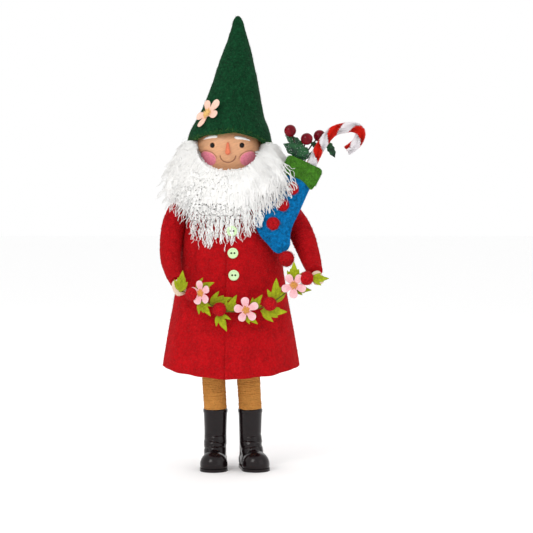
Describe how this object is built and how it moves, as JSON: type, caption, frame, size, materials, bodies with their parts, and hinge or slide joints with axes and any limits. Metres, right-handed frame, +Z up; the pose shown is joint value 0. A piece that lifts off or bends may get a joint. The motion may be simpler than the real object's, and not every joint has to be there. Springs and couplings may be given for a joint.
{
  "type": "gnome figurine",
  "caption": "Standing gnome figurine in a felt coat and pointed hat, with a fleece beard, a garland that swings between its hands and a stocking with pull-out trims.",
  "frame": {"origin": "on the ground, under the middle of the figure's bounding box, leaving out the hanging garland", "axes": "+Z up, -Y the way the figure faces, +X its own left hand side"},
  "size_m": [0.1789, 0.1082, 0.4],
  "materials": {
    "red_felt": "matte",
    "green_felt": "matte",
    "blue_felt": "matte",
    "cuff_felt": "matte",
    "leaf_felt": "matte",
    "petal_felt": "matte",
    "peach_felt": "matte",
    "gold_thread": "satin",
    "red_yarn": "matte",
    "tan_yarn": "matte",
    "fleece": "matte",
    "wadding": "matte",
    "cream_felt": "matte",
    "red_wool": "matte",
    "chenille_red": "matte",
    "chenille_white": "matte",
    "cord": "matte",
    "boot_plastic": "satin",
    "button_plastic": "gloss",
    "bead": "gloss",
    "berry": "gloss",
    "holly_plastic": "gloss",
    "stem": "matte",
    "face_paint": "satin",
    "nose_paint": "satin",
    "cheek_paint": "satin",
    "white_paint": "satin",
    "raw_wood": "matte",
    "foam": "matte",
    "steel_wire": "satin"
  },
  "bodies": {
    "figure": {"torso_core": "foam", "neck_dowel": "raw_wood", "arm_wire": "steel_wire", "right_leg_dowel": "raw_wood", "left_leg_dowel": "raw_wood", "right_leg_wrap": "tan_yarn", "left_leg_wrap": "tan_yarn", "right_boot": "boot_plastic", "left_boot": "boot_plastic", "right_boot_sole": "boot_plastic", "left_boot_sole": "boot_plastic", "coat_back": "red_felt", "coat_right_front": "red_felt", "coat_left_front": "red_felt", "coat_buttons": "button_plastic", "right_sleeve": "red_yarn", "left_sleeve": "red_yarn", "right_hand": "cream_felt", "left_hand": "cream_felt", "head_ball": "raw_wood", "face_shell": "face_paint", "nose": "nose_paint", "eyes": "bead", "eyebrows": "white_paint", "cheeks": "cheek_paint", "hair": "fleece", "beard": "fleece", "hat": "green_felt", "hat_stuffing": "wadding", "hat_flower": "peach_felt", "hat_flower_stitches": "gold_thread", "stocking_front": "blue_felt", "stocking_back": "blue_felt", "stocking_stuffing": "wadding", "stocking_cuff": "cuff_felt", "stocking_pompoms": "red_wool", "stocking_toe_pompom": "red_wool", "right_hand_leaf": "leaf_felt", "left_hand_leaf": "leaf_felt"},
    "garland": {"garland_cord": "cord", "garland_leaves_right": "leaf_felt", "garland_leaves_middle": "leaf_felt", "garland_leaves_left": "leaf_felt", "garland_flower_1": "petal_felt", "garland_flower_2": "petal_felt", "garland_flower_3": "petal_felt", "garland_flower_stitches": "gold_thread", "garland_ball_1": "red_wool", "garland_ball_2": "red_wool", "garland_ball_3": "red_wool", "garland_ball_4": "red_wool"},
    "candy_cane": {"candy_cane_red": "chenille_red", "candy_cane_white": "chenille_white"},
    "holly_sprig": {"holly_stems": "stem", "holly_leaves": "holly_plastic", "holly_berries": "berry"}
  },
  "joints": [
    {"name": "garland_swing", "type": "hinge", "parent": "figure", "child": "garland", "pos_m": [-0.0707, -0.0466, 0.1606], "axis": [0.9934, 0.0033, 0.1147], "range_deg": [-35, 0]},
    {"name": "candy_cane_slide", "type": "slide", "parent": "figure", "child": "candy_cane", "axis": [0.4115, 0, 0.9114], "range_m": [0, 0.027]},
    {"name": "holly_sprig_slide", "type": "slide", "parent": "figure", "child": "holly_sprig", "axis": [0.4115, 0, 0.9114], "range_m": [0, 0.019]}
  ]
}
